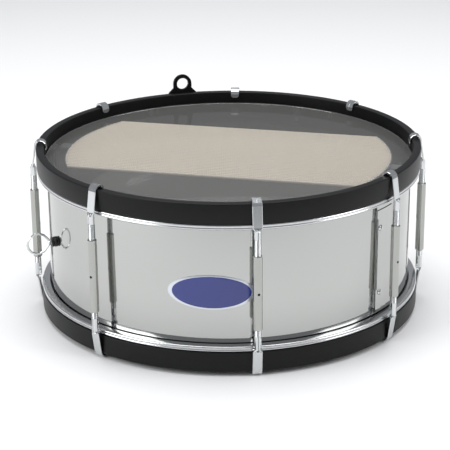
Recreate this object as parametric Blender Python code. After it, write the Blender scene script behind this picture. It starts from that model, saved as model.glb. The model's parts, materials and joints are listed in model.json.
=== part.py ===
"""A fourteen inch hand-played snare drum on a thin steel shell.

Eight tension units hold the two hoops together.  Each is a bent strap hook
over the top hoop, a long sleeve nut and a second hook under the bottom hoop.
A flat mat of snare strands lies under the top head, and a ring screw through
the shell lifts a felt damper against the same head.

Sizes are in millimetres and become metres when a mesh point is made.
The drum stands on the arches of its lower hooks, at z = 0.
An azimuth of 0 faces the viewer (-Y) and grows towards +X.
"""

import math

import bmesh
import bpy
from mathutils import Vector

for old in list(bpy.data.objects):
    bpy.data.objects.remove(old, do_unlink=True)

MM = 0.001

# Seat left between two pieces that touch
fit_gap = 0.3

# Shell: rolled sheet steel, open at both ends
shell_radius = 176.6
shell_wall = 1.2
shell_height = 135.3
shell_edge_round = 0.35

# Heads: clear film drawn over the shell's edges
film_thickness = 0.3
film_shoulder = 0.9

# Hoops: square bar rings that press the heads down
hoop_clearance = 0.6
hoop_wall = 7.6
hoop_height = 19.0
hoop_reveal = 11.7
hoop_edge = 0.9

# Flesh hoops: round-faced rings that hold the rim of each head
flesh_wall = 7.5
flesh_height = 5.1
flesh_round = 1.3

# Strap hooks
strap_width = 8.8
strap_thickness = 1.7
strap_bevel = 0.4
hook_clearance = 0.55
arch_drop = 1.9
inner_leg = 3.7
fold_depth = 20.7
barrel_radius = 3.1
barrel_depth = 24.0
top_barrel_end = 31.5
bottom_barrel_end = 36.5
seam_width = 0.8
seam_depth = 0.9
thread_radius = 2.9
thread_reach = 25.0

# Sleeve nuts
rod_offset = 4.2
sleeve_radius = 4.25
sleeve_bore = 3.35
sleeve_length = 70.0
sleeve_chamfer = 0.6
sleeve_low_end = 42.5
bar_hole_radius = 1.25

# Where the eight units stand on this drum, placed by hand, and how far
# each sleeve has been turned away from facing outwards
unit_azimuths = (7.5, 53.1, 91.9, 134.2, 177.6, -133.7, -88.6, -40.1)
sleeve_turns = (6.0, -12.0, 18.0, -25.0, 9.0, 30.0, -16.0, 11.0)

# Seam strip over the lap of the shell's sheet
strip_azimuth = 53.6
strip_width = 26.0
strip_thickness = 0.7
strip_foot = 26.5
strip_height = 100.0

# Carrying lug on the back of the top hoop
lug_azimuth = -164.8
lug_thickness = 3.0
lug_top_radius = 9.85
lug_hole_radius = 6.2
lug_hole_rise = 9.3
lug_base_width = 30.0
lug_base_drop = 14.0
lug_flare_top = 4.6

# Snare mat and its end brackets
snare_azimuth = 76.5
snare_count = 34
snare_pitch = 4.6
snare_strand = 3.2
snare_radius = 158.0
snare_offset = 6.0
snare_bar = 4.0
snare_bracket_width = 14.0
snare_bracket_sheet = 1.6
snare_bracket_height = 42.0
snare_bracket_lap = 9.0

# Damper: ring screw, cam, guided arm and felt pad
damper_azimuth = -68.0
damper_rise = 1.6
ring_wire = 1.2
ring_radius = 10.0
ring_reach = 28.5
hub_radius = 3.0
hub_length = 3.0
spindle_radius = 2.4
spindle_clearance = 0.5
bush_radius = 4.9
bush_waist = 4.2
bush_length = 4.0
cam_radius = 7.0
cam_width = 3.0
cam_offset = 2.0
cam_play = 0.9
arm_width = 11.0
arm_sheet = 1.6
arm_play = 0.5
arm_foot = 13.0
arm_shelf = 14.0
guide_sheet = 1.2
guide_height = 30.0
guide_rise = 16.0
guide_lip = 2.6
pad_length = 26.0
pad_width = 14.0
pad_height = 5.0
pad_shift = 12.0
pad_travel = 4.0

# Facets
ring_segments = 64
arch_steps = 6

# Heights and radii that follow from the sizes above
arch_radius = hoop_wall / 2 + hook_clearance + strap_thickness / 2
floor_clear = arch_radius + strap_thickness / 2 - arch_drop
bottom_rim = floor_clear
top_rim = bottom_rim + shell_height + 2 * hoop_reveal
shell_foot = bottom_rim + hoop_reveal
shell_top = top_rim - hoop_reveal
middle = (bottom_rim + top_rim) / 2
collar_inner = shell_radius + fit_gap
collar_outer = collar_inner + film_thickness
hoop_inner = collar_outer + hoop_clearance
hoop_outer = hoop_inner + hoop_wall
hoop_centre = (hoop_inner + hoop_outer) / 2
flesh_inner = collar_outer + fit_gap
flesh_outer = flesh_inner + flesh_wall
rod_radius = hoop_outer + rod_offset
head_underside = shell_top + fit_gap


def finish(name, red, green, blue, roughness, metallic, alpha=1.0):
    """One plain material with the colour and gloss of the real finish."""
    material = bpy.data.materials.new(name)
    material.use_nodes = True
    shader = material.node_tree.nodes["Principled BSDF"]
    shader.inputs["Base Color"].default_value = (red, green, blue, 1.0)
    shader.inputs["Roughness"].default_value = roughness
    shader.inputs["Metallic"].default_value = metallic
    shader.inputs["Alpha"].default_value = alpha
    material.diffuse_color = (red, green, blue, alpha)
    material.roughness = roughness
    material.metallic = metallic
    return material


polished_steel = finish("polished_steel", 0.62, 0.62, 0.63, 0.08, 1.0)
black_enamel = finish("black_enamel", 0.012, 0.012, 0.013, 0.28, 0.0)
bright_alloy = finish("bright_alloy", 0.72, 0.72, 0.72, 0.22, 1.0)
hook_chrome = finish("hook_chrome", 0.66, 0.67, 0.67, 0.12, 1.0)
satin_nickel = finish("satin_nickel", 0.46, 0.47, 0.44, 0.34, 1.0)
clear_film = finish("clear_film", 0.75, 0.76, 0.78, 0.15, 0.0, 0.35)
snare_wire = finish("snare_wire", 0.50, 0.46, 0.41, 0.40, 1.0)
zinc_sheet = finish("zinc_sheet", 0.55, 0.56, 0.57, 0.35, 1.0)
black_rubber = finish("black_rubber", 0.015, 0.015, 0.015, 0.55, 0.0)
grey_felt = finish("grey_felt", 0.10, 0.10, 0.11, 0.95, 0.0)


def add_piece(name, bm, material, smooth_angle=40.0):
    """Turn a bmesh whose points are in millimetres into a named object."""
    for vert in bm.verts:
        vert.co *= MM
    bmesh.ops.recalc_face_normals(bm, faces=bm.faces)
    mesh = bpy.data.meshes.new(name)
    bm.to_mesh(mesh)
    bm.free()
    mesh.materials.append(material)
    mesh.shade_smooth()
    mesh.set_sharp_from_angle(angle=math.radians(smooth_angle))
    piece = bpy.data.objects.new(name, mesh)
    bpy.context.scene.collection.objects.link(piece)
    return piece


def stand(piece, azimuth, radius=0.0, height=0.0, turn=0.0):
    """Place a piece so that its local -Y points outwards at an azimuth."""
    angle = math.radians(azimuth)
    place = Vector((radius * math.sin(angle), -radius * math.cos(angle), height))
    piece.location = place * MM
    piece.rotation_euler = (0.0, math.radians(turn), angle)
    return piece


def revolve(outline, segments, closed=True):
    """Spin an outline of (radius, height) points round the Z axis."""
    bm = bmesh.new()
    verts = [bm.verts.new((radius, 0.0, height)) for radius, height in outline]
    count = len(verts) if closed else len(verts) - 1
    edges = [bm.edges.new((verts[i], verts[(i + 1) % len(verts)])) for i in range(count)]
    bmesh.ops.spin(
        bm, geom=verts + edges, cent=(0, 0, 0), axis=(0, 0, 1),
        angle=math.tau, steps=segments, use_merge=True)
    bmesh.ops.remove_doubles(bm, verts=bm.verts, dist=0.002)
    return bm


def loft(sections):
    """Join a row of closed sections with quads and cap both ends."""
    bm = bmesh.new()
    rings = [[bm.verts.new(point) for point in section] for section in sections]
    for ring, following in zip(rings, rings[1:]):
        for i in range(len(ring)):
            j = (i + 1) % len(ring)
            bm.faces.new((ring[i], ring[j], following[j], following[i]))
    bm.faces.new(rings[0])
    bm.faces.new(rings[-1])
    return bm


def extrude_outline(outline, start, end, along):
    """Pull a flat outline out along local X, Y or Z."""
    order = {"X": (2, 0, 1), "Y": (0, 2, 1), "Z": (0, 1, 2)}[along]
    sections = []
    for depth in (start, end):
        values = [(first, second, depth) for first, second in outline]
        sections.append([Vector((v[order[0]], v[order[1]], v[order[2]])) for v in values])
    return loft(sections)


def bent_strap(path, thickness):
    """Outline of a sheet strap whose centre line is an open path."""
    left = []
    right = []
    for i, point in enumerate(path):
        here = Vector(point)
        before = Vector(path[max(i - 1, 0)])
        after = Vector(path[min(i + 1, len(path) - 1)])
        arriving = (here - before).normalized() if i else (after - here).normalized()
        leaving = (after - here).normalized() if i < len(path) - 1 else arriving
        middle_way = (arriving + leaving).normalized()
        normal = Vector((-middle_way.y, middle_way.x))
        reach = thickness / 2 / max(0.3, normal.dot(Vector((-leaving.y, leaving.x))))
        left.append(here + normal * reach)
        right.append(here - normal * reach)
    return [tuple(p) for p in left + right[::-1]]


def cutter(name, bm, parent):
    """A hidden shape that a Boolean modifier takes away or adds."""
    shape = add_piece(name, bm, black_rubber)
    shape.parent = parent
    shape.hide_render = True
    shape.display_type = "WIRE"
    return shape


def combine(piece, shape, operation):
    """Cut one shape from a piece, or fuse it on."""
    step = piece.modifiers.new(shape.name, "BOOLEAN")
    step.operation = operation
    step.solver = "EXACT"
    step.object = shape
    shape.hide_viewport = False


def rod(radius, start, end, segments, along):
    """A plain cylinder along one local axis, as a bmesh."""
    circle = []
    for i in range(segments):
        angle = math.tau * (i + 0.5) / segments
        circle.append((radius * math.cos(angle), radius * math.sin(angle)))
    return extrude_outline(circle, start, end, along)


# Shell

def make_shell():
    """A sheet tube with softened bearing edges and a hole for the damper spindle."""
    inner = shell_radius - shell_wall
    soft = shell_edge_round
    outline = [
        (shell_radius, shell_foot + soft), (shell_radius, shell_top - soft),
        (shell_radius - soft, shell_top), (inner + soft, shell_top),
        (inner, shell_top - soft), (inner, shell_foot + soft),
        (inner + soft, shell_foot), (shell_radius - soft, shell_foot),
    ]
    shell = add_piece("shell", revolve(outline, ring_segments), polished_steel)
    hole = rod(spindle_radius + spindle_clearance, -8.0, 8.0, 16, "Y")
    drill = cutter("spindle_hole", hole, None)
    stand(drill, damper_azimuth, shell_radius, middle + damper_rise)
    combine(shell, drill, "DIFFERENCE")


def make_seam_strip():
    """A thin curved plate over the lap of the sheet, two screws wide."""
    half = math.degrees(strip_width / 2 / shell_radius)
    inner = shell_radius + fit_gap
    sections = []
    for step in range(4):
        angle = math.radians(strip_azimuth - half + 2 * half * step / 3)
        out = Vector((math.sin(angle), -math.cos(angle), 0.0))
        low = Vector((0.0, 0.0, bottom_rim + strip_foot))
        high = low + Vector((0.0, 0.0, strip_height))
        near = out * inner
        far = out * (inner + strip_thickness)
        sections.append([near + low, far + low, far + high, near + high])
    add_piece("seam_strip", loft(sections), polished_steel)


# Heads, flesh hoops and hoops

def make_head(name, side):
    """Film across the shell, over its edge and down to the flesh hoop."""
    edge = shell_top if side > 0 else shell_foot
    under = edge + side * fit_gap
    outer = under + side * film_thickness
    hem = hoop_edge_height(side) - side * (fit_gap + flesh_height * 0.6)
    outline = [
        (0.0, outer), (collar_outer - film_shoulder, outer),
        (collar_outer, outer - side * film_shoulder), (collar_outer, hem),
        (collar_inner, hem), (collar_inner, under - side * film_shoulder * 0.6),
        (collar_inner - film_shoulder * 0.7, under), (0.0, under),
    ]
    add_piece(name, revolve(outline, ring_segments, closed=False), clear_film)


def hoop_edge_height(side):
    """Height of the hoop's edge nearest the drum's middle."""
    return top_rim - hoop_height if side > 0 else bottom_rim + hoop_height


def make_flesh_hoop(name, side):
    """Ring under the hoop, rounded on its outer face."""
    near = hoop_edge_height(side) - side * fit_gap
    far = near - side * flesh_height
    soft = flesh_round
    outline = [
        (flesh_inner, near), (flesh_outer - soft, near), (flesh_outer, near - side * soft),
        (flesh_outer, far + side * soft), (flesh_outer - soft, far), (flesh_inner, far),
    ]
    add_piece(name, revolve(outline, ring_segments), bright_alloy)


def make_hoop(name, side):
    """Square bar hoop with small softened edges."""
    rim = top_rim if side > 0 else bottom_rim
    foot = hoop_edge_height(side)
    low, high = min(rim, foot), max(rim, foot)
    soft = hoop_edge
    outline = [
        (hoop_outer, low + soft), (hoop_outer, high - soft), (hoop_outer - soft, high),
        (hoop_inner + soft, high), (hoop_inner, high - soft), (hoop_inner, low + soft),
        (hoop_inner + soft, low), (hoop_outer - soft, low),
    ]
    return add_piece(name, revolve(outline, ring_segments), black_enamel)


# Tension units

def strap_section(width):
    """Twelve points round the flat strap, (across, outwards)."""
    half = width / 2
    thick = strap_thickness / 2
    bevel = strap_bevel
    lip = seam_width / 2
    right = [
        (lip, thick), (half - bevel, thick), (half, thick - bevel),
        (half, bevel - thick), (half - bevel, -thick),
    ]
    left = [(-across, out) for across, out in reversed(right)]
    return [(0.0, thick - 0.05)] + right + [(0.0, -thick - 0.05)] + left


def fold_section():
    """The strap's edges curl outwards and leave an open V between them."""
    r = barrel_radius
    right = [(0.5 * r, 0.58 * r), (0.85 * r, 0.72 * r), (1.15 * r, 0.4 * r),
             (1.15 * r, -0.15 * r), (0.75 * r, -0.6 * r)]
    left = [(-across, out) for across, out in reversed(right)]
    return [(0.0, -0.02 * r)] + right + [(0.0, -0.72 * r)] + left


def rolled_section(radius, depth):
    """A rolled barrel: a circle with its seam as a narrow groove."""
    lip = math.asin(seam_width / 2 / radius)
    points = [(0.0, radius - depth)]
    for step in range(11):
        angle = lip + (math.tau - 2 * lip) * step / 10
        points.append((radius * math.sin(angle), radius * math.cos(angle)))
    return points


def hook_stations(barrel_end):
    """Centre line of a hook from its inner tip to the end of its thread.

    Each station is (radius, depth below the rim, outward direction, section),
    where the direction is an angle in the radial plane, 0 outwards, 90 up.
    """
    lean = math.degrees(math.atan2(
        rod_radius - hoop_centre - arch_radius, fold_depth - arch_drop))
    strap = strap_section(strap_width)
    stations = [
        (hoop_centre - arch_radius, arch_drop + inner_leg, 180.0, strap_section(strap_width * 0.6)),
        (hoop_centre - arch_radius, arch_drop + inner_leg * 0.55, 180.0, strap),
    ]
    for step in range(arch_steps + 1):
        angle = 180.0 - 180.0 * step / arch_steps
        turn = math.radians(angle)
        stations.append((
            hoop_centre + arch_radius * math.cos(turn),
            arch_drop - arch_radius * math.sin(turn),
            angle if step < arch_steps else lean / 2, strap))
    stations += [
        (rod_radius, fold_depth, lean / 2, strap),
        (rod_radius, fold_depth + 1.6, 0.0, fold_section()),
        (rod_radius, barrel_depth, 0.0, rolled_section(barrel_radius, seam_depth)),
        (rod_radius, barrel_end, 0.0, rolled_section(barrel_radius, seam_depth)),
        (rod_radius, barrel_end + 0.2, 0.0, rolled_section(thread_radius, seam_depth * 0.5)),
        (rod_radius, barrel_end + thread_reach, 0.0,
         rolled_section(thread_radius, seam_depth * 0.5)),
    ]
    return stations


def make_hook(name, azimuth, side, barrel_end):
    """Bent strap with a rolled, threaded end; its origin is on the rod's axis."""
    sections = []
    for radius, depth, direction, section in hook_stations(barrel_end):
        turn = math.radians(direction)
        outward = Vector((0.0, -math.cos(turn), side * math.sin(turn)))
        centre = Vector((0.0, rod_radius - radius, -side * depth))
        sections.append([
            centre + Vector((across, 0.0, 0.0)) + outward * out for across, out in section])
    hook = add_piece(name, loft(sections), hook_chrome, 50.0)
    stand(hook, azimuth, rod_radius, top_rim if side > 0 else bottom_rim)


def make_sleeve(name, azimuth, turned):
    """Long nut with chamfered ends and a cross hole for the tuning bar."""
    half = sleeve_length / 2
    cut = sleeve_chamfer
    outline = [
        (sleeve_bore, -half), (sleeve_radius - cut, -half), (sleeve_radius, cut - half),
        (sleeve_radius, half - cut), (sleeve_radius - cut, half), (sleeve_bore, half),
    ]
    sleeve = add_piece(name, revolve(outline, 16), satin_nickel)
    stand(sleeve, azimuth + turned, 0.0, 0.0)
    angle = math.radians(azimuth)
    height = bottom_rim + sleeve_low_end + half
    sleeve.location = Vector((
        rod_radius * math.sin(angle), -rod_radius * math.cos(angle), height)) * MM
    bar = rod(bar_hole_radius, -2 * sleeve_radius, 2 * sleeve_radius, 8, "Y")
    drill = cutter(name + "_hole", bar, sleeve)
    combine(sleeve, drill, "DIFFERENCE")


def make_tension_units():
    for number, (azimuth, turned) in enumerate(zip(unit_azimuths, sleeve_turns), 1):
        make_hook(f"top_hook_{number}", azimuth, 1, top_barrel_end)
        make_sleeve(f"sleeve_nut_{number}", azimuth, turned)
        make_hook(f"bottom_hook_{number}", azimuth, -1, bottom_barrel_end)


# Carrying lug

def make_lug():
    """Flat eye plate riveted on the outside of the top hoop."""
    half = lug_base_width / 2
    eye = top_rim + lug_hole_rise
    outline = [(-half, top_rim - lug_base_drop), (half, top_rim - lug_base_drop)]
    flare_foot = top_rim + lug_flare_top - (half - lug_top_radius)
    outline.append((half, flare_foot))
    for step in range(13):
        angle = math.pi * step / 12
        outline.append((lug_top_radius * math.cos(angle), eye + lug_top_radius * math.sin(angle)))
    outline.append((-lug_top_radius, top_rim + lug_flare_top))
    outline.insert(3, (lug_top_radius, top_rim + lug_flare_top))
    outline.append((-half, flare_foot))
    back = -(hoop_outer + fit_gap)
    plate = extrude_outline(outline, back, back - lug_thickness, "Y")
    lug = stand(add_piece("carrying_lug", plate, black_enamel, 30.0), lug_azimuth)
    eye_hole = rod(lug_hole_radius, back + 5.0, back - lug_thickness - 5.0, 20, "Y")
    for vert in eye_hole.verts:
        vert.co.z += eye
    combine(lug, cutter("lug_eye_hole", eye_hole, lug), "DIFFERENCE")


# Snare mat

def make_snare_mat():
    """Parallel strands between two curved end bars, in one piece."""
    bm = bmesh.new()
    rows = []
    edge = snare_offset - snare_pitch * (snare_count - 1) / 2 - snare_strand / 2
    cuts = []
    for strand in range(snare_count):
        start = edge + strand * snare_pitch
        cuts += [start, start + snare_strand]
    for across in cuts:
        outer = math.sqrt(snare_radius ** 2 - across ** 2)
        inner = math.sqrt((snare_radius - snare_bar) ** 2 - across ** 2)
        rows.append([bm.verts.new((along, across, 0.0)) for along in (-outer, -inner, inner, outer)])
    for i, (row, following) in enumerate(zip(rows, rows[1:])):
        cells = (0, 1, 2) if i % 2 == 0 else (0, 2)
        for cell in cells:
            bm.faces.new((row[cell], row[cell + 1], following[cell + 1], following[cell]))
    pulled = bmesh.ops.extrude_face_region(bm, geom=list(bm.faces), use_keep_orig=True)
    for item in pulled["geom"]:
        if isinstance(item, bmesh.types.BMVert):
            item.co.z -= snare_strand
    mat = add_piece("snare_mat", bm, snare_wire, 30.0)
    mat.location = (0.0, 0.0, (head_underside - 0.4) * MM)
    mat.rotation_euler = (0.0, 0.0, math.radians(snare_azimuth - 90.0))


def make_snare_bracket(name, azimuth):
    """Bent sheet bracket from the shell's wall to the end bar of the mat."""
    wall = shell_radius - shell_wall - 2 * fit_gap - snare_bracket_sheet / 2
    shelf = head_underside - 0.4 - snare_strand - fit_gap - snare_bracket_sheet / 2
    lap = snare_radius - snare_bracket_lap
    path = [(-wall, shelf - snare_bracket_height), (-wall, shelf - 3.0), (-wall + 3.0, shelf),
            (-lap, shelf)]
    half = snare_bracket_width / 2
    strap = extrude_outline(bent_strap(path, snare_bracket_sheet), -half, half, "X")
    stand(add_piece(name, strap, zinc_sheet, 30.0), azimuth)


# Damper

def make_damper():
    """Ring screw with a cam, its bush, the guided arm and the felt pad."""
    height = middle + damper_rise
    seat = shell_radius + fit_gap
    back_wall = shell_radius - shell_wall - 2 * fit_gap
    bush = [
        (spindle_radius + spindle_clearance, 0.0), (bush_radius, 0.0),
        (bush_radius, bush_length * 0.3), (bush_waist, bush_length * 0.5),
        (bush_radius, bush_length * 0.7), (bush_radius, bush_length),
        (spindle_radius + spindle_clearance, bush_length),
    ]
    ring = stand(add_piece("damper_bush", revolve(bush, 16), black_rubber),
                 damper_azimuth, seat, height)
    ring.rotation_euler.x = math.pi / 2
    make_ring_screw(seat, height)

    arm_plane = back_wall - guide_sheet - arm_play - arm_sheet / 2
    cam_top = height - cam_offset + cam_radius
    foot = cam_top + cam_play + arm_sheet / 2
    shelf = head_underside - pad_travel - 2 * fit_gap - pad_height - fit_gap - arm_sheet / 2
    path = [(-(arm_plane - arm_foot), foot), (-arm_plane, foot),
            (-arm_plane, shelf), (-(arm_plane - arm_shelf), shelf)]
    strap = extrude_outline(bent_strap(path, arm_sheet), -arm_width / 2, arm_width / 2, "X")
    arm = add_piece("damper_arm", strap, zinc_sheet, 30.0)
    stand(arm, damper_azimuth)

    low = shelf + arm_sheet / 2 + fit_gap
    near = arm_plane - arm_shelf / 2 - pad_width / 2
    block = [(-near, low), (-near, low + pad_height - 1.0), (-near - 1.0, low + pad_height),
             (-near - pad_width + 1.0, low + pad_height),
             (-near - pad_width, low + pad_height - 1.0), (-near - pad_width, low)]
    felt = extrude_outline(
        block, pad_shift - pad_length / 2, pad_shift + pad_length / 2, "X")
    stand(add_piece("damper_pad", felt, grey_felt, 30.0), damper_azimuth)

    inside = arm_width / 2 + arm_play
    outside = inside + guide_sheet
    lip_front = -(arm_plane - arm_sheet / 2 - arm_play)
    channel = [
        (-outside, -back_wall), (outside, -back_wall),
        (outside, lip_front + guide_sheet), (inside - guide_lip, lip_front + guide_sheet),
        (inside - guide_lip, lip_front), (inside, lip_front),
        (inside, guide_sheet - back_wall), (-inside, guide_sheet - back_wall),
        (-inside, lip_front), (guide_lip - inside, lip_front),
        (guide_lip - inside, lip_front + guide_sheet), (-outside, lip_front + guide_sheet),
    ]
    guide = extrude_outline(channel, height + guide_rise, height + guide_rise + guide_height, "Z")
    stand(add_piece("damper_guide", guide, zinc_sheet, 30.0), damper_azimuth)


def make_ring_screw(seat, height):
    """Spindle and hub with a bent wire ring outside and a cam inside."""
    hub_start = bush_length + fit_gap
    back_wall = shell_radius - shell_wall - 2 * fit_gap
    cam_face = back_wall - guide_sheet - 2 * arm_play - seat
    end = cam_face - cam_width
    spindle = [
        (0.0, end), (spindle_radius, end), (spindle_radius, hub_start), (hub_radius, hub_start),
        (hub_radius, hub_start + hub_length - 0.6),
        (hub_radius - 0.6, hub_start + hub_length), (0.0, hub_start + hub_length),
    ]
    turned = revolve(spindle, 14, closed=False)
    for vert in turned.verts:
        vert.co.y, vert.co.z = -vert.co.z, vert.co.y
    screw = stand(add_piece("ring_screw", turned, hook_chrome), damper_azimuth, seat, height)
    disc = rod(cam_radius, -cam_face, -end, 20, "Y")
    for vert in disc.verts:
        vert.co.z -= cam_offset
    combine(screw, cutter("ring_cam", disc, screw), "UNION")
    combine(screw, cutter("ring_loop", wire_loop(hub_start + hub_length / 2), screw), "UNION")


def wire_loop(root):
    """A teardrop of wire: an arc at the far end and straight runs to the hub."""
    centre = ring_reach - ring_wire - ring_radius
    tangent = math.acos(min(0.95, ring_radius / (centre - root)))
    outline = []
    for step in range(13):
        angle = (math.pi - tangent) * (1 - 2 * step / 12)
        outline.append((centre + ring_radius * math.cos(angle), ring_radius * math.sin(angle)))
    outline.append((root, -1.15 * ring_wire))
    outline.append((root, 1.15 * ring_wire))
    bm = bmesh.new()
    rings = []
    for i, (out, up) in enumerate(outline):
        before = Vector(outline[i - 1])
        after = Vector(outline[(i + 1) % len(outline)])
        run = (after - before).normalized()
        side = Vector((run.y, -run.x))
        ring = []
        for step in range(6):
            turn = math.tau * step / 6
            flat = Vector((out, up)) + side * ring_wire * math.cos(turn)
            ring.append(bm.verts.new((ring_wire * math.sin(turn), -flat.x, flat.y)))
        rings.append(ring)
    for i, ring in enumerate(rings):
        following = rings[(i + 1) % len(rings)]
        for k in range(6):
            j = (k + 1) % 6
            bm.faces.new((ring[k], ring[j], following[j], following[k]))
    return bm


make_shell()
make_seam_strip()
make_head("batter_head", 1)
make_head("resonant_head", -1)
make_flesh_hoop("top_flesh_hoop", 1)
make_flesh_hoop("bottom_flesh_hoop", -1)
make_hoop("top_hoop", 1)
make_hoop("bottom_hoop", -1)
make_tension_units()
make_lug()
make_snare_mat()
make_snare_bracket("snare_bracket_right", snare_azimuth)
make_snare_bracket("snare_bracket_left", snare_azimuth - 180.0)
make_damper()
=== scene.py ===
"""Looks of a shallow steel-shell drum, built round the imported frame, in metres.

An azimuth of 0 degrees faces the viewer and grows to the viewer's right.
"""

import json
import math

import bmesh
import bpy
import numpy as np
from mathutils import Matrix, Vector

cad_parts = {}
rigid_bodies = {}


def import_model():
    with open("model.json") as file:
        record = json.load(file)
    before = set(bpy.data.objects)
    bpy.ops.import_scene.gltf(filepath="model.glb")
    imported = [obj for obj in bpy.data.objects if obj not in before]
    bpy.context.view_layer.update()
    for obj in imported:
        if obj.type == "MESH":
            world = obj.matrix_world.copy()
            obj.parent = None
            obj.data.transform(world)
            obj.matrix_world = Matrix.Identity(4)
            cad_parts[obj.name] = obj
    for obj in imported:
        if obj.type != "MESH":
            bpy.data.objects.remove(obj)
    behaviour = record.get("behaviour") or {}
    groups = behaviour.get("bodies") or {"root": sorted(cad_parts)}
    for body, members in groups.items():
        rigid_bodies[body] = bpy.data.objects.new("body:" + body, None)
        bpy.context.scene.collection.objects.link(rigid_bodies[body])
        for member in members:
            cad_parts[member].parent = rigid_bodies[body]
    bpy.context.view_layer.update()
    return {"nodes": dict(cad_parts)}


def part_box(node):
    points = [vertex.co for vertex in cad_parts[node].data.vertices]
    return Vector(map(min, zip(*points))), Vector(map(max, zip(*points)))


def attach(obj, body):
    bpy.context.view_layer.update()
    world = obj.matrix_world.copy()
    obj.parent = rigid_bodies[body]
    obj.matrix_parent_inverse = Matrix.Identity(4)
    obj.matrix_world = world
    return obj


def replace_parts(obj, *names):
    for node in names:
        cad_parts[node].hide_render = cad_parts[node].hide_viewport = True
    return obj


for old in list(bpy.data.objects):
    bpy.data.objects.remove(old, do_unlink=True)

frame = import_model()


# Shell: stainless sheet, rolled to a thin tube and polished, with its two edges turned
# a little round. The sheet is not quite true, so it mirrors the room with slow waves.

def linear(code):
    """An sRGB hex colour as linear red, green and blue with a full alpha.

    A share up to 0.04045 is divided by 12.92. A larger one has 0.055 added, is
    divided by 1.055 and raised to the power 2.4.
    """
    shares = [int(code[i:i + 2], 16) / 255 for i in (1, 3, 5)]
    return [v / 12.92 if v <= 0.04045 else ((v + 0.055) / 1.055) ** 2.4 for v in shares] + [1.0]


def add_node(tree, kind, inputs=None):
    """One node; an input is a value, or another node's output that is linked to it."""
    node = tree.nodes.new(kind)
    for name, value in (inputs or {}).items():
        if isinstance(value, bpy.types.NodeSocket):
            tree.links.new(value, node.inputs[name])
        else:
            node.inputs[name].default_value = value
    return node


def surface_finish(name, colour, roughness, metallic, extra=None):
    """The material of one real finish; extra holds more inputs of its shader by name."""
    material = bpy.data.materials.new(name)
    material.use_nodes = True
    shader = material.node_tree.nodes["Principled BSDF"]
    values = {"Base Color": linear(colour), "Roughness": roughness, "Metallic": metallic}
    for label, value in (values | (extra or {})).items():
        shader.inputs[label].default_value = value
    return material


def add_relief(material, kind, height, pattern, stretch, strength, depth):
    """Raise the finish by a pattern that lies still on the object.

    A point is stretched along each axis, the pattern is read there, and the surface
    seems to rise by that value times strength times depth.
    """
    tree = material.node_tree
    place = add_node(tree, "ShaderNodeTexCoord")
    stretched = add_node(tree, "ShaderNodeMapping",
                         {"Vector": place.outputs["Object"], "Scale": stretch})
    texture = add_node(tree, kind, {"Vector": stretched.outputs["Vector"]} | pattern)
    relief = add_node(tree, "ShaderNodeBump", {"Height": texture.outputs[height],
                                               "Strength": strength, "Distance": depth})
    tree.links.new(relief.outputs["Normal"], tree.nodes["Principled BSDF"].inputs["Normal"])


def new_piece(name, points, faces, material, body, smooth):
    """A piece from points and four-sided faces, all turned outwards.

    An edge stays sharp where its two faces meet at more than smooth degrees.
    """
    mesh = bpy.data.meshes.new(name)
    mesh.from_pydata(points.reshape(-1, 3).tolist(), [], faces.reshape(-1, 4).tolist())
    form = bmesh.new()
    form.from_mesh(mesh)
    bmesh.ops.recalc_face_normals(form, faces=form.faces)
    form.to_mesh(mesh)
    form.free()
    mesh.materials.append(material)
    mesh.shade_smooth()
    mesh.set_sharp_from_angle(angle=math.radians(smooth))
    piece = bpy.data.objects.new(name, mesh)
    bpy.context.scene.collection.objects.link(piece)
    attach(piece, body)
    return piece


def surface(name, points, material, body="drum", wrap=(True, False), smooth=60.0):
    """A piece over a grid of points, each face between two rows and two columns.

    The last row meets the first, and the last column the first, where wrap says so.
    """
    rows, columns = points.shape[:2]
    grid = np.arange(rows * columns).reshape(rows, columns)
    if wrap[0]:
        grid = np.vstack([grid, grid[:1]])
    if wrap[1]:
        grid = np.hstack([grid, grid[:, :1]])
    faces = np.stack([grid[:-1, :-1], grid[1:, :-1], grid[1:, 1:], grid[:-1, 1:]], -1)
    return new_piece(name, points, faces, material, body, smooth)


def turned(outline):
    """The outline's points carried round the drum's axis.

    Radius times cosine and sine of the turn gives the place, and the height stays.
    """
    segments = 256
    turn = np.linspace(0, 2 * np.pi, segments, endpoint=False)[:, None]
    radius, height = np.array(outline).T
    return np.stack([radius * np.cos(turn), radius * np.sin(turn), height + 0 * turn], -1)


def ring_box(node):
    """Outer radius, lowest and highest point of a round CAD node."""
    low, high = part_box(node)
    return (high.x - low.x) / 2, low.z, high.z


# A mirror polish, faintly veiled. Its waves are about 110 mm wide and three times as high.
shell_steel = surface_finish("polished_stainless", "#b4b5b3", 0.07, 1.0)
add_relief(shell_steel, "ShaderNodeTexNoise", "Fac", {"Scale": 9.0, "Detail": 1.0},
           stretch=(1.0, 1.0, 0.35), strength=0.35, depth=0.0012)

shell_radius, shell_low, shell_high = ring_box("shell")
sheet_wall = 0.0012
sheet_edge = 0.00045
shell_inside = shell_radius - sheet_wall
shell_bend = np.linspace(0, np.pi / 2, 5)
shell_line = [(shell_radius - sheet_edge + sheet_edge * math.cos(a),
               shell_high - sheet_edge + sheet_edge * math.sin(a)) for a in shell_bend]
shell_line += [(shell_inside + sheet_edge - sheet_edge * math.sin(a),
                shell_high - sheet_edge + sheet_edge * math.cos(a)) for a in shell_bend]
shell_line += [(radius, shell_low + shell_high - height) for radius, height in shell_line[::-1]]
shell_tube = surface("shell_tube", turned(shell_line), shell_steel,
                     wrap=(True, True))
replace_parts(shell_tube, "shell")
frame["nodes"]["seam_strip"].data.materials[0] = shell_steel


# Hoops: square bar, rolled and welded to a ring, then enamelled. One presses down on
# each head, held by the hooks that go over it.

# A satin black, whose low index keeps the sheen of the lamps weak.
hoop_enamel = surface_finish("black_enamel", "#080809", 0.42, 0.0, {"IOR": 1.32})

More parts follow.
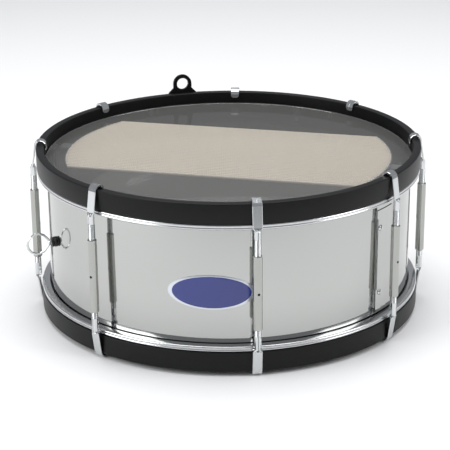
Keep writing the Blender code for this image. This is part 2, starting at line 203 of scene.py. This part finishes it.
bar_width = 0.0076
bar_corner = 0.0009
corner_bend = np.linspace(0, np.pi / 2, 5)
for name in ("top_hoop", "bottom_hoop"):
    radius, low, high = ring_box(name)
    outer = radius - bar_corner
    inner = radius - bar_width + bar_corner
    top = high - bar_corner
    bottom = low + bar_corner
    centres = ((outer, top, 0), (inner, top, 1), (inner, bottom, 2), (outer, bottom, 3))
    bar_line = [(x + bar_corner * math.cos(a + quarter * np.pi / 2),
                 z + bar_corner * math.sin(a + quarter * np.pi / 2))
                for x, z, quarter in centres for a in corner_bend]
    hoop_bar = surface(name + "_bar", turned(bar_line), hoop_enamel,
                       wrap=(True, True))
    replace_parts(hoop_bar, name)


# Flesh hoops: a drawn ring of bright alloy that holds the rim of each head. Its face has
# two round beads with a shallow waist between them.

# A brighter and softer polish than the shell's, so the beads show as two light lines.
ring_alloy = surface_finish("bright_ring", "#d2d3d4", 0.2, 1.0)

ring_depth = 0.0072
bead_fall = 0.0011
waist_fall = 0.0005
for name in ("top_flesh_hoop", "bottom_flesh_hoop"):
    radius, low, high = ring_box(name)
    # The face falls back by the sixth power of the height, which rounds its edges off. It
    # also falls by the squared cosine of half a turn each way, times one less the height
    # squared, which makes the waist.
    level = np.linspace(-1, 1, 25)
    face = (radius - bead_fall * level ** 6
            - waist_fall * np.cos(level * np.pi) ** 2 * (1 - level ** 2))
    ring_line = list(zip(face, (low + high) / 2 + (high - low) / 2 * level))
    ring_line += [(radius - ring_depth, high), (radius - ring_depth, low)]
    flesh_ring = surface(name + "_ring", turned(ring_line), ring_alloy,
                         wrap=(True, True))
    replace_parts(flesh_ring, name)


# Heads: clear polyester film, a quarter of a millimetre thick, drawn flat and down over
# the shell's edges. The top one is clear enough to show the snare mat.

film_thickness = 0.00025
film_shoulder = 0.0011
film_pole = 0.00001
film_rings = (0.05, 0.12, 0.165)
shoulder_bend = np.linspace(np.pi / 2, 0, 7)
for name, side, shade_grey, cover in (("batter_head", 1, "#8b8b89", 0.24),
                                ("resonant_head", -1, "#a3a3a1", 0.86)):
    # A glossy grey that covers only in part. The grey is painted shade: it stands for the dark
    # inside of the drum
    #     # seen through the clear film. The lower head's grey covers more, as painted shade
    #     under the drum.
    film = surface_finish(name + "_film", shade_grey, 0.07, 0.0, {"Alpha": cover})
    radius, low, high = ring_box(name)
    flat = high if side > 0 else low
    hem = low if side > 0 else high
    film_line = [(film_pole, flat)] + [(reach, flat) for reach in film_rings]
    film_line += [(radius - film_shoulder + film_shoulder * math.cos(a),
                   flat - side * (film_shoulder - film_shoulder * math.sin(a)))
                  for a in shoulder_bend]
    film_line += [(radius, hem), (radius - film_thickness, hem),
                  (radius - film_thickness, flat - side * film_shoulder),
                  (radius - film_shoulder, flat - side * film_thickness),
                  (film_pole, flat - side * film_thickness)]
    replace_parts(surface(name + "_film", turned(film_line), film), name)


# Snare mat: steel wire wound to long fine coils, laid side by side under the top head
# and soldered to a curved bar at each end.

# Dull warm wire. Its bands are 1.7 mm apart, coarser than the real winding, so that they
# show.
coil_wire = surface_finish("snare_wire", "#eadfce", 0.5, 0.2)
add_relief(coil_wire, "ShaderNodeTexWave", "Color", {"Scale": 1.0, "Distortion": 0.0},
           stretch=(180.0, 180.0, 180.0), strength=0.6, depth=0.0003)

mat_points = np.array([v.co for v in frame["nodes"]["snare_mat"].data.vertices])
mat_reach = np.hypot(mat_points[:, 0], mat_points[:, 1]).max()
mat_top = mat_points[:, 2].max()
mat_azimuth = 76.5
mat_turn = math.radians(mat_azimuth - 90.0)
along = np.array([math.cos(mat_turn), math.sin(mat_turn), 0.0])
across = np.array([-math.sin(mat_turn), math.cos(mat_turn), 0.0])
upward = np.array([0.0, 0.0, 1.0])
spread = mat_points @ across
coil_count = 34
coil_radius = 0.0016
coil_sides = 8
coil_inset = 0.001

# Each strand is a round bar between two points of a circle: half its length squared is
# the circle's radius squared less the strand's own distance squared.
strand_places = np.linspace(spread.min() + coil_radius, spread.max() - coil_radius, coil_count)
half_length = np.sqrt((mat_reach - coil_inset) ** 2 - strand_places ** 2)
strand_turn = np.linspace(0, 2 * np.pi, coil_sides, endpoint=False)
strand_side = strand_places[:, None] + coil_radius * np.cos(strand_turn)
strand_height = mat_top - coil_radius + coil_radius * np.sin(strand_turn)
strand_ends = half_length[:, None] * np.array([-1, 1])
strands = (strand_ends[:, None, :, None] * along + strand_side[:, :, None, None] * across
           + strand_height[:, None, None] * upward)
order = np.arange(coil_count * coil_sides * 2).reshape(coil_count, coil_sides, 2)
beside = np.roll(order, -1, axis=1)
strand_faces = np.stack([order[..., 0], beside[..., 0], beside[..., 1], order[..., 1]], -1)
snare_coils = new_piece("snare_coils", strands, strand_faces, coil_wire,
                        "drum", smooth=180.0)
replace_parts(snare_coils, "snare_mat")

# The bar's four corners, along the strands and down from the mat's top, follow the same
# circle a little further in.
bar_inset = 0.0015
bar_corners = [(-0.0015, -0.0022), (0.0015, -0.0022), (0.0015, -0.0006), (-0.0015, -0.0006)]
bar_step = np.linspace(strand_places[0], strand_places[-1], 60)
bar_reach = np.sqrt((mat_reach - bar_inset) ** 2 - bar_step ** 2)
for end, name in ((-1, "snare_end_bar_left"), (1, "snare_end_bar_right")):
    centre = end * bar_reach[:, None] * along + bar_step[:, None] * across
    end_bar = np.stack([centre + end * x * along + (mat_top + z) * upward
                        for x, z in bar_corners], 1)
    surface(name, end_bar, ring_alloy, wrap=(False, True), smooth=30.0)


# Tension units: hooks of bright-plated strap and long sleeves in a duller nickel. The
# thread is rolled on the hook's own barrel and shows above and below the sleeve.

# The plate is near a mirror. The sleeve's nickel is darker and spreads the light a little.
hook_plate = surface_finish("bright_plate", "#cfd1d2", 0.14, 1.0)
sleeve_nickel = surface_finish("satin_nickel", "#a9aaa6", 0.2, 1.0)

thread_pitch = 0.001
thread_root = 0.00285
thread_rise = 0.00035
upper_thread = 0.0149
lower_thread = 0.0062
thread_turn = np.linspace(0, 2 * np.pi, 24, endpoint=False)[:, None]
for number in range(1, 9):
    for node in (f"top_hook_{number}", f"bottom_hook_{number}"):
        frame["nodes"][node].data.materials[0] = hook_plate
    frame["nodes"][f"sleeve_nut_{number}"].data.materials[0] = sleeve_nickel
    low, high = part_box(f"sleeve_nut_{number}")
    axis = (low + high) / 2
    for name, start, end, body in (
            (f"thread_{number}_upper", high.z, high.z + upper_thread, f"top_hook_{number}"),
            (f"thread_{number}_lower", low.z - lower_thread, low.z, "drum")):
        # The radius rises evenly to the crest and falls again once in each pitch of
        # height, and the crest climbs by one pitch in a turn.
        height = np.arange(start, end, thread_pitch / 8)[None, :]
        crest = np.abs((height / thread_pitch - thread_turn / (2 * np.pi)) % 1.0 - 0.5) * 2
        radius = thread_root + thread_rise * crest
        thread = np.stack([axis.x + radius * np.cos(thread_turn),
                           axis.y + radius * np.sin(thread_turn), height + 0 * thread_turn], -1)
        surface(name, thread, hook_plate, body, smooth=180.0)


# Small fittings: an enamelled eye plate behind, the plated ring screw in its rubber bush,
# and inside the drum the felt damper and brackets bent from zinc-plated sheet.

# Zinc is grey and half dull, felt is dark without any shine, rubber has a faint one.
zinc = surface_finish("zinc_sheet", "#a9abad", 0.35, 1.0)
felt = surface_finish("grey_felt", "#3c3c40", 0.95, 0.0)
rubber = surface_finish("black_rubber", "#141414", 0.5, 0.0)

for node, finish in (
        ("carrying_lug", hoop_enamel), ("ring_screw", hook_plate), ("damper_bush", rubber),
        ("damper_arm", zinc), ("damper_pad", felt), ("damper_guide", zinc),
        ("snare_bracket_left", zinc), ("snare_bracket_right", zinc)):
    frame["nodes"][node].data.materials[0] = finish


# Badge: a bare oval of blue enamel with a thin pale rim, bent to the shell and fixed
# flat on it.

# Deep blue under a clear gloss, and a rim of pale bright metal.
badge_blue = surface_finish("blue_enamel", "#1c2c7c", 0.2, 0.0, {"Coat Weight": 0.6})
badge_metal = surface_finish("pale_rim", "#cfd3da", 0.25, 1.0)

badge_azimuth = math.radians(-5.2)
badge_half_width = 0.0395
badge_half_height = 0.0165
badge_height = (shell_low + shell_high) / 2 - 0.0061
badge_spread = np.linspace(0.001, 1, 12)[None, :]
badge_turn = np.linspace(0, 2 * np.pi, 96, endpoint=False)[:, None]
for name, share, rise, finish in (("badge_rim", 1.0, 0.00045, badge_metal),
                                  ("badge_field", 0.965, 0.0006, badge_blue)):
    # An ellipse laid round the shell: the cosine of the turn gives the azimuth and the
    # sine the height. Its last row comes down to a tenth of its rise.
    azimuth = (badge_azimuth
               + share * badge_spread * badge_half_width / shell_radius * np.cos(badge_turn))
    height = badge_height + share * badge_spread * badge_half_height * np.sin(badge_turn)
    radius = shell_radius + rise * np.where(badge_spread < 1, 1.0, 0.1)
    oval = np.stack([radius * np.sin(azimuth), -radius * np.cos(azimuth), height], -1)
    surface(name, oval, finish)


# Seam screws: two small plated domes that hold the strip over the shell's seam. They are
# drawn without a slot.

screw_radius = 0.0028
screw_pole = 0.00001
screw_base = 0.001
screw_rise = 0.0015
screw_turn = np.linspace(0, 2 * np.pi, 32, endpoint=False)[:, None]
screw_tilt = np.linspace(0, np.pi / 2, 9)[None, :]
for name, azimuth, height in (("seam_screw_upper", 51.0, 0.1134),
                              ("seam_screw_lower", 51.3, 0.0499)):
    # Towards the top the sine of the tilt lifts each ring off the shell, and the cosine
    # draws it in.
    angle = math.radians(azimuth)
    ring = screw_radius * np.cos(screw_tilt) + screw_pole
    out = shell_radius + screw_base + screw_rise * np.sin(screw_tilt) + 0 * screw_turn
    side = ring * np.cos(screw_turn)
    dome = np.stack([out * math.sin(angle) + side * math.cos(angle),
                     -out * math.cos(angle) + side * math.sin(angle),
                     height + ring * np.sin(screw_turn)], -1)
    surface(name, dome, hook_plate)


# Studio: a pale painted floor and three wide soft lamps in a grey room. Only the lens
# sees the room as white.

floor_paint = surface_finish("white_floor", "#f4f4f4", 0.8, 0.0)
bpy.ops.mesh.primitive_plane_add(size=14.0)
floor = bpy.context.object
floor.name = "floor"
floor.data.materials.append(floor_paint)

world = bpy.context.scene.world or bpy.data.worlds.new("studio")
bpy.context.scene.world = world
world.use_nodes = True
world.node_tree.nodes.clear()
path = add_node(world.node_tree, "ShaderNodeLightPath")
room = add_node(world.node_tree, "ShaderNodeBackground",
                {"Color": linear("#b4b6ba"), "Strength": 0.75})
backdrop = add_node(world.node_tree, "ShaderNodeBackground", {"Color": linear("#ffffff")})
seen = add_node(world.node_tree, "ShaderNodeMixShader",
                {"Fac": path.outputs["Is Camera Ray"], 1: room.outputs["Background"],
                 2: backdrop.outputs["Background"]})
add_node(world.node_tree, "ShaderNodeOutputWorld", {"Surface": seen.outputs["Shader"]})

lit_point = Vector((0, 0, 0.08))
for name, place, size, power in (("top_light", (0.0, 0.2, 1.9), 1.8, 34.0),
                                 ("left_light", (-1.7, -0.9, 1.1), 1.2, 20.0),
                                 ("right_light", (1.8, -0.6, 1.2), 1.0, 12.0)):
    lamp = bpy.data.lights.new(name, "AREA")
    lamp.size = size
    lamp.energy = power
    light = bpy.data.objects.new(name, lamp)
    bpy.context.scene.collection.objects.link(light)
    light.location = place
    light.rotation_euler = (lit_point - Vector(place)).to_track_quat("-Z", "Y").to_euler()


# Camera: the photograph's own view, 20 degrees down through a long lens. Its distance,
# swing and roll are the ones that lay the hoops' ellipses on the photograph's.

tilt = math.radians(20.173)
swing = math.radians(-0.156)
roll = math.radians(0.472)
rise = math.radians(19.988)
distance = 1.5284
aimed_point = Vector((0.0, 0.0, 0.0813))
ahead = Vector((math.sin(swing) * math.cos(tilt), math.cos(swing) * math.cos(tilt),
                -math.sin(tilt)))
level_right = Vector((math.cos(swing), -math.sin(swing), 0.0))
level_up = level_right.cross(ahead)
right = level_right * math.cos(roll) - level_up * math.sin(roll)
up = level_up * math.cos(roll) + level_right * math.sin(roll)

lens = bpy.data.cameras.new("camera")
lens.lens = 124.03
lens.sensor_width = 36.0
lens.clip_end = 50.0
camera = bpy.data.objects.new("camera", lens)
bpy.context.scene.collection.objects.link(camera)
spot = Vector((0.0, -math.cos(rise), math.sin(rise))) * distance + aimed_point
facing = Matrix((right, up, -ahead)).transposed().to_4x4()
camera.matrix_world = Matrix.Translation(spot) @ facing
bpy.context.scene.camera = camera
bpy.context.scene.view_settings.view_transform = "Standard"
